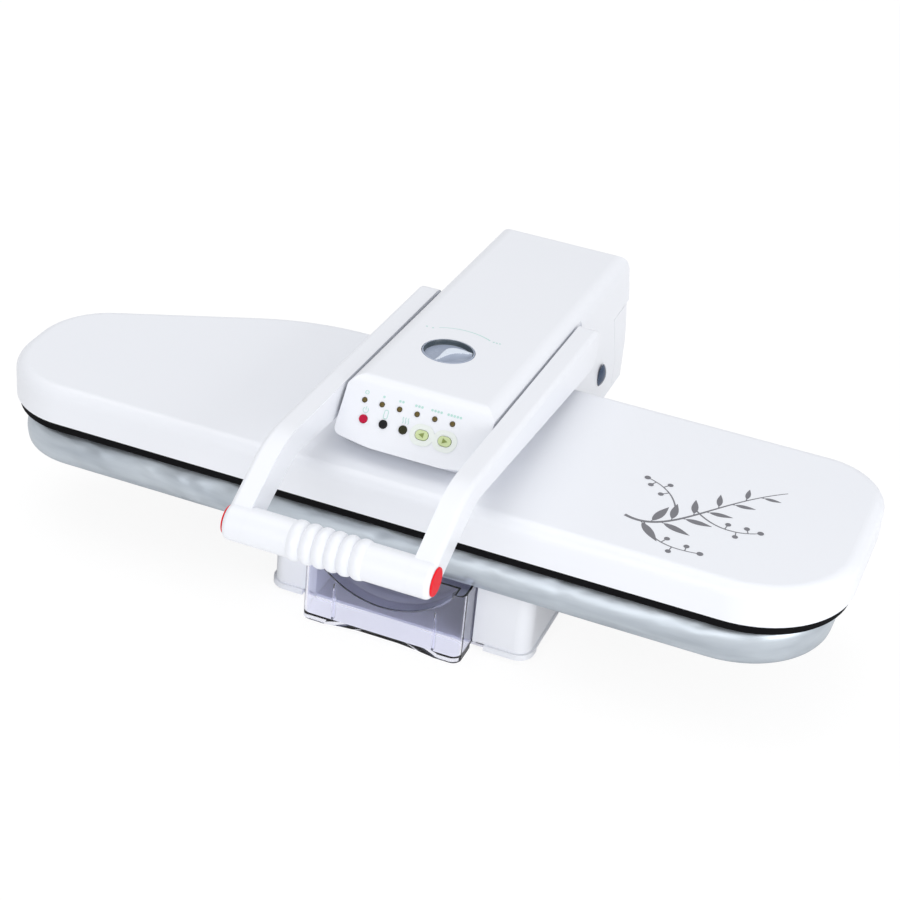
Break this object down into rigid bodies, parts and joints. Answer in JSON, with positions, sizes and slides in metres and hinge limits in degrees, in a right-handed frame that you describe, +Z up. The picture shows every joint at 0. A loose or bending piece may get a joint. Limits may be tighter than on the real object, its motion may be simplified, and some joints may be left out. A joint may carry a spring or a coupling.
{
  "type": "steam ironing press",
  "caption": "Tabletop steam ironing press: long padded board, hinged heated plate under a white cover, lever handle, sloped key panel, dial and clear pull-out water tank.",
  "frame": {"origin": "middle of the outer box, on the table", "axes": "+X along the board from the narrow nose to the wide end, +Y from the handle to the back, +Z up"},
  "size_m": [0.832, 0.618, 0.2296],
  "materials": {
    "white_plastic": "glossy moulded",
    "soft_white": "soft satin",
    "grey_plastic": "fine grain",
    "pump_grey": "moulded",
    "clear_tank": "clear, faint violet tint",
    "clear_hose": "translucent",
    "rubber": "matt",
    "steel": "zinc plated",
    "brass": "machined",
    "sole_alloy": "cast and ground",
    "shield_alloy": "sheet",
    "pad_cover": "metallised silver cloth",
    "blue_grey": "semi-gloss",
    "red_plastic": "glossy",
    "black_plastic": "glossy",
    "olive_plastic": "glossy",
    "green_plastic": "translucent",
    "amber_lens": "tinted lens",
    "board_green": "resist"
  },
  "bodies": {
    "base": {"rubber_feet": "rubber", "bottom_plate": "grey_plastic", "base_screws": "steel", "base_housing": "white_plastic", "tank_socket": "grey_plastic", "feed_hose": "clear_hose", "pump": "pump_grey", "column_housing": "white_plastic", "hinge_brackets": "steel", "hinge_pin": "steel", "lift_springs": "steel", "cord_gland": "rubber", "board_tray": "grey_plastic", "board_pad": "pad_cover"},
    "tank": {"water_tank": "clear_tank", "tank_valve": "grey_plastic", "tank_seal": "rubber"},
    "head": {"plate_cover": "white_plastic", "sole_plate": "sole_alloy", "heating_element": "steel", "heat_shield": "shield_alloy", "head_chassis": "steel", "chassis_screws": "steel", "hinge_bushes": "brass", "shaft_bushes": "brass", "steam_boiler": "sole_alloy", "steam_pipe": "brass", "head_housing": "white_plastic", "rear_cover": "white_plastic", "pivot_caps": "blue_grey", "control_board": "board_green", "led_lenses": "amber_lens", "button_bezel": "soft_white", "knob_valve": "brass"},
    "knob": {"steam_knob": "blue_grey"},
    "handle": {"handle_arm_left": "white_plastic", "handle_arm_right": "white_plastic", "handle_bar": "white_plastic", "handle_rod": "steel", "handle_shaft": "steel", "end_cap_left": "red_plastic", "end_cap_right": "red_plastic"},
    "power_button_body": {"power_button": "red_plastic"},
    "tone_button_body": {"tone_button": "black_plastic"},
    "steam_button_body": {"steam_button": "olive_plastic"},
    "down_button_body": {"down_button": "green_plastic"},
    "up_button_body": {"up_button": "green_plastic"}
  },
  "joints": [
    {"name": "head_lift", "type": "hinge", "parent": "base", "child": "head", "pos_m": [0.003, 0.20325, 0.125], "axis": [-1, 0, 0], "range_deg": [0, 40]},
    {"name": "handle_lever", "type": "hinge", "parent": "head", "child": "handle", "pos_m": [0.003, 0.12125, 0.1885], "axis": [-1, 0, 0], "range_deg": [0, 18]},
    {"name": "knob_turn", "type": "hinge", "parent": "head", "child": "knob", "pos_m": [-0.0083, -0.00425, 0.22609], "axis": [0, 0.0433, 0.9991], "range_deg": [-4.5, 88.5]},
    {"name": "tank_slide", "type": "slide", "parent": "base", "child": "tank", "axis": [0, -1, 0], "range_m": [0, 0.15]},
    {"name": "power_button_press", "type": "slide", "parent": "head", "child": "power_button_body", "axis": [0, 0.7938, -0.6082], "range_m": [0, 0.0012], "stiffness_N_per_m": 400},
    {"name": "tone_button_press", "type": "slide", "parent": "head", "child": "tone_button_body", "axis": [0, 0.7938, -0.6082], "range_m": [0, 0.0012], "stiffness_N_per_m": 400},
    {"name": "steam_button_press", "type": "slide", "parent": "head", "child": "steam_button_body", "axis": [0, 0.7938, -0.6082], "range_m": [0, 0.0012], "stiffness_N_per_m": 400},
    {"name": "down_button_press", "type": "slide", "parent": "head", "child": "down_button_body", "axis": [0, 0.7938, -0.6082], "range_m": [0, 0.0012], "stiffness_N_per_m": 400},
    {"name": "up_button_press", "type": "slide", "parent": "head", "child": "up_button_body", "axis": [0, 0.7938, -0.6082], "range_m": [0, 0.0012], "stiffness_N_per_m": 400}
  ]
}
